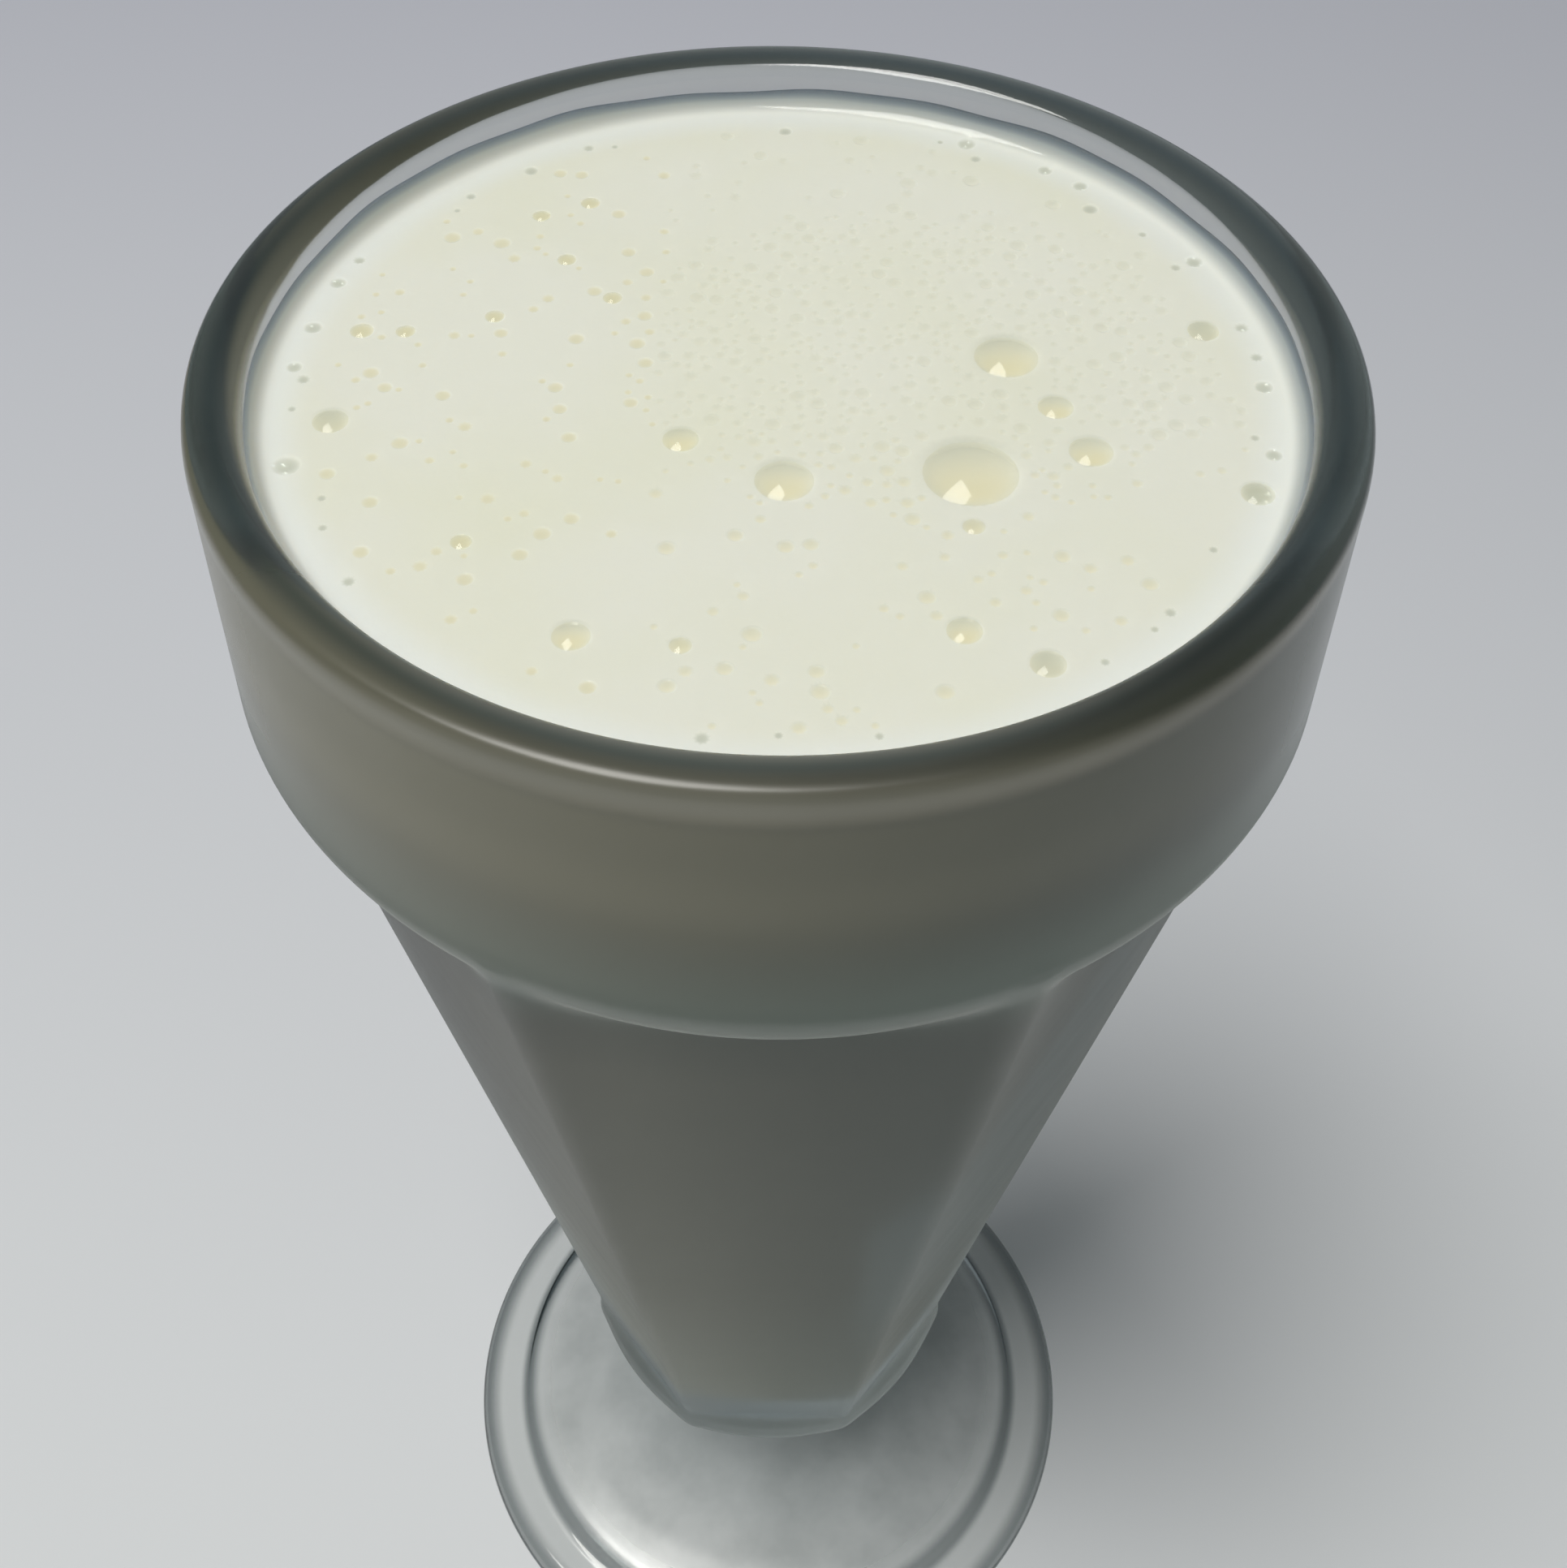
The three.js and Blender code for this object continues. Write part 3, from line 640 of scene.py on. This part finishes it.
class LASSI_OT_drink(bpy.types.Operator):
    """Builds the drink: its wall against the glass, its meniscus and its surface with bubble hollows."""
    bl_idname = "lassi.drink"
    bl_label = "Drink"

    def execute(self, context):
        shape = GlassShape(context.scene.lassi_glass)
        drink = context.scene.lassi_drink
        level = drink.level / MM
        into_wall = drink.into_wall / MM
        rise = drink.meniscus_rise / MM
        width = drink.meniscus_width / MM
        count = DRINK_COLUMNS
        angles = np.linspace(0, 2 * math.pi, count, endpoint=False)
        bubbles = LARGE_BUBBLES + MEDIUM_BUBBLES
        bubbles += froth_bubbles(drink.froth_bubbles, drink.seed, bubbles)
        edge = shape.cavity_radius(level + rise) + into_wall

        def surface_height(x, y):
            """The quiet surface and its meniscus, whose edge wavers round the glass."""
            reach = math.hypot(x, y)
            angle = math.atan2(x, -y)
            waver = 1 + 0.09 * math.sin(5 * angle + 1.0) + 0.06 * math.sin(11 * angle) + 0.04 * math.sin(23 * angle)
            inward = min(max((edge - reach) / width, 0), 1)
            swell = 0.06 * math.sin(0.13 * x + 0.8) * math.cos(0.11 * y)
            return level + rise * waver * (1 - inward) ** 2.6 + swell

        points = []
        drops = []
        tones = []

        def add_point(x, y, drop=0.0, tone=(0.0, 0.0)):
            """Adds a point of the surface, how far it lies under the quiet surface, and its tone."""
            points.append((x, y))
            drops.append(drop)
            tones.append(tone)

        # Rings over the meniscus, an even grid between the bubbles, and rings in and round each bubble.
        for share in MENISCUS_RINGS:
            for angle in angles:
                x, y, _ = point_on_ring(edge - share * width, angle, 0)
                add_point(x, y)
        grid = np.arange(-36, 36.01, SURFACE_SPACING)
        taken = np.array(bubbles)
        for row, y in enumerate(grid):
            for x in grid + (SURFACE_SPACING / 2 if row % 2 else 0):
                if math.hypot(x, y) < edge - 1.5 * width:
                    gap = np.hypot(taken[:, 0] - x, taken[:, 1] - y) - taken[:, 2] * 1.3
                    if gap.min() > 0.1:
                        add_point(x, y)
        for x, y, radius in bubbles:
            sides = 28 if radius > LARGE_RADIUS else 16 if radius > MEDIUM_RADIUS else 9
            shares = BUBBLE_RINGS if radius > MEDIUM_RADIUS else FINE_BUBBLE_RINGS
            depth = drink.hollow_share * radius
            add_point(x, y, -depth, bubble_tone(x, y, radius, 0, 0))
            for ring, share in enumerate(shares):
                fall = -depth * math.sqrt(max(1 - share ** 2, 0)) if share < 1 else 0.0
                for i in range(sides):
                    angle = 2 * math.pi * (i + 0.5 * (ring % 2)) / sides
                    px = x + share * radius * math.cos(angle)
                    py = y + share * radius * math.sin(angle)
                    if math.hypot(px, py) < edge - 0.05:
                        add_point(px, py, fall, bubble_tone(x, y, radius, share, math.sin(angle)))
        # Triangles join all these points; the outermost ring then leads down the wall to the bottom.
        flat = [Vector(p) for p in points]
        found, _, triangles, origins, _, _ = delaunay_2d_cdt(flat, [], [], 0, 1e-6)
        vertices = []
        shade = []
        for place, source in zip(found, origins):
            own = source[0]
            vertices.append((place.x, place.y, surface_height(place.x, place.y) + drops[own]))
            shade.append(tones[own])
        rim_at = {source[0]: new for new, source in enumerate(origins) if source[0] < count}
        faces = [tuple(t) for t in triangles]
        previous = [rim_at[i] for i in range(count)]
        wall = [(r + into_wall, z) for r, z in shape.cavity() if z < level - 0.6][::-1]
        side_start = len(faces)
        for radius, z in wall[:-1]:
            ring = [len(vertices) + i for i in range(count)]
            vertices += [point_on_ring(radius, a, z) for a in angles]
            faces += [(previous[i], ring[i], ring[(i + 1) % count], previous[(i + 1) % count]) for i in range(count)]
            previous = ring
        bottom = len(vertices)
        vertices.append((0, 0, shape.floor_height - into_wall))
        faces += [(previous[i], bottom, previous[(i + 1) % count]) for i in range(count)]
        shade += [(0.0, 0.0)] * (len(vertices) - len(shade))
        piece = mesh_piece("lassi_body", vertices, faces, node="lassi")
        for column, name in enumerate(("warm", "shade")):
            mask = piece.data.attributes.new(name, "FLOAT", "POINT")
            mask.data.foreach_set("value", [tone[column] for tone in shade])
        piece.data.materials.append(fresh_lassi_surface(context.scene.lassi_looks))
        piece.data.materials.append(lassi_behind_glass(context.scene.lassi_looks))
        for polygon in piece.data.polygons[side_start:]:
            polygon.material_index = 1
        return {"FINISHED"}


class LASSI_OT_films(bpy.types.Operator):
    """Builds the thin domed films over the large bubbles and the larger of the medium ones."""
    bl_idname = "lassi.films"
    bl_label = "Bubble films"

    def execute(self, context):
        drink = context.scene.lassi_drink
        level = drink.level / MM
        vertices = []
        faces = []
        for x, y, radius in LARGE_BUBBLES + MEDIUM_BUBBLES:
            if radius < SMALLEST_FILM or math.hypot(x, y) + radius > FILM_REACH:
                continue
            sides, rings = (32, 8) if radius > LARGE_RADIUS else (18, 5)
            top = len(vertices)
            vertices.append((x, y, level + drink.film_share * radius))
            previous = None
            for ring in range(1, rings + 1):
                share = ring / rings
                start = len(vertices)
                for i in range(sides):
                    angle = 2 * math.pi * i / sides
                    vertices.append((x + share * radius * math.cos(angle), y + share * radius * math.sin(angle),
                                     level + drink.film_share * radius * (1 - share ** 2)))
                if previous is None:
                    faces += [(top, start + i, start + (i + 1) % sides) for i in range(sides)]
                else:
                    faces += ring_faces(start, previous, sides)
                previous = start
        piece = mesh_piece("bubble_films", vertices, faces)
        piece.data.materials.append(milk_bubble_film())
        piece.visible_shadow = False
        piece.visible_diffuse = False
        return {"FINISHED"}


class LASSI_OT_stage(bpy.types.Operator):
    """Builds the table top, the camera and the light."""
    bl_idname = "lassi.stage"
    bl_label = "Stage"

    def execute(self, context):
        scene = context.scene
        self.build_table(scene)
        self.build_camera(scene)
        self.build_light(scene)
        return {"FINISHED"}

    def build_table(self, scene):
        reach = 3.0
        mesh = bpy.data.meshes.new("table_top")
        corners = [(-reach, -reach, 0), (reach, -reach, 0), (reach, reach, 0), (-reach, reach, 0)]
        mesh.from_pydata(corners, [], [(0, 1, 2, 3)])
        table = bpy.data.objects.new("table_top", mesh)
        # A tenth of a millimetre below the foot, so that the two never share a plane.
        table.location.z = -0.0001
        scene.collection.objects.link(table)
        mesh.materials.append(matt_table_top(scene.lassi_looks))

    def build_camera(self, scene):
        view = scene.lassi_view
        data = bpy.data.cameras.new("camera")
        data.sensor_width = 36
        data.lens = view.focal_pixels * data.sensor_width / PHOTO_HEIGHT
        data.clip_start = 0.005
        data.clip_end = 20
        camera = bpy.data.objects.new("camera", data)
        scene.collection.objects.link(camera)
        forward = Vector((math.sin(view.yaw) * math.cos(view.pitch), math.cos(view.yaw) * math.cos(view.pitch),
                          -math.sin(view.pitch)))
        right = Vector((math.cos(view.yaw), -math.sin(view.yaw), 0))
        up = right.cross(forward)
        turned_right = math.cos(view.roll) * right + math.sin(view.roll) * up
        turned_up = math.cos(view.roll) * up - math.sin(view.roll) * right
        axes = Matrix((turned_right, turned_up, -forward)).transposed()
        camera.matrix_world = Matrix.Translation((0, -view.distance, view.height)) @ axes.to_4x4()
        scene.camera = camera

    def build_light(self, scene):
        scene.view_settings.view_transform = "Standard"
        data = bpy.data.lights.new("overhead_softbox", "AREA")
        data.shape = "SQUARE"
        data.size = 0.66
        data.energy = 14.8
        data.color = linear("#FFFDF8")[:3]
        light = bpy.data.objects.new("overhead_softbox", data)
        light.location = (-0.355, -0.207, 1.442)
        aim = Vector((0, 0, 0.15)) - light.location
        light.rotation_euler = aim.to_track_quat("-Z", "Y").to_euler()
        scene.collection.objects.link(light)
        # A dim room, blue-grey towards the horizon and brighter behind the glass.
        world = bpy.data.worlds.new("studio")
        world.use_nodes = True
        tree = world.node_tree
        tree.nodes.clear()
        place = add_node(tree, "ShaderNodeTexCoord").outputs["Generated"]
        split = add_node(tree, "ShaderNodeSeparateXYZ", links={"Vector": place}).outputs
        tone = mixed_colour(tree, ramp(tree, split["Z"], 0.0, 0.9), linear("#5B696D"), linear("#4A4A46"))
        slant = add_node(tree, "ShaderNodeVectorMath", {"operation": "DOT_PRODUCT"}, {1: (0.25, 0.95, 0.0)},
                         {0: place})
        tone = mixed_colour(tree, ramp(tree, slant.outputs["Value"], 0.35, 0.95), tone, linear("#A8AFB3"))
        sky = add_node(tree, "ShaderNodeBackground", values={"Strength": 1.0}, links={"Color": tone})
        add_node(tree, "ShaderNodeOutputWorld", links={"Surface": sky.outputs["Background"]})
        scene.world = world


class LASSI_PT_panel(bpy.types.Panel):
    """Lists the pieces of the glass of lassi."""
    bl_idname = "LASSI_PT_panel"
    bl_label = "Glass of lassi"
    bl_space_type = "VIEW_3D"
    bl_region_type = "UI"
    bl_category = "Lassi"

    def draw(self, context):
        scene = context.scene
        for group, sizes in (("Glass", scene.lassi_glass), ("Drink", scene.lassi_drink),
                             ("Looks", scene.lassi_looks), ("View", scene.lassi_view)):
            box = self.layout.box()
            box.label(text=group)
            for key in type(sizes).__annotations__:
                box.prop(sizes, key)
        for operator in OPERATORS:
            self.layout.operator(operator.bl_idname)


OPERATORS = (LASSI_OT_glass, LASSI_OT_drink, LASSI_OT_films, LASSI_OT_stage)
GROUPS = {"lassi_glass": GlassSizes, "lassi_drink": DrinkSizes, "lassi_looks": Looks, "lassi_view": ViewSizes}


def register():
    for group in (*GROUPS.values(), *OPERATORS, LASSI_PT_panel):
        bpy.utils.register_class(group)
    for key, group in GROUPS.items():
        setattr(bpy.types.Scene, key, bpy.props.PointerProperty(type=group))


def unregister():
    for key in GROUPS:
        delattr(bpy.types.Scene, key)
    for group in reversed((*GROUPS.values(), *OPERATORS, LASSI_PT_panel)):
        bpy.utils.unregister_class(group)


def main():
    register()
    bpy.ops.lassi.glass()
    bpy.ops.lassi.drink()
    bpy.ops.lassi.films()
    bpy.ops.lassi.stage()


if __name__ == "__main__":
    main()
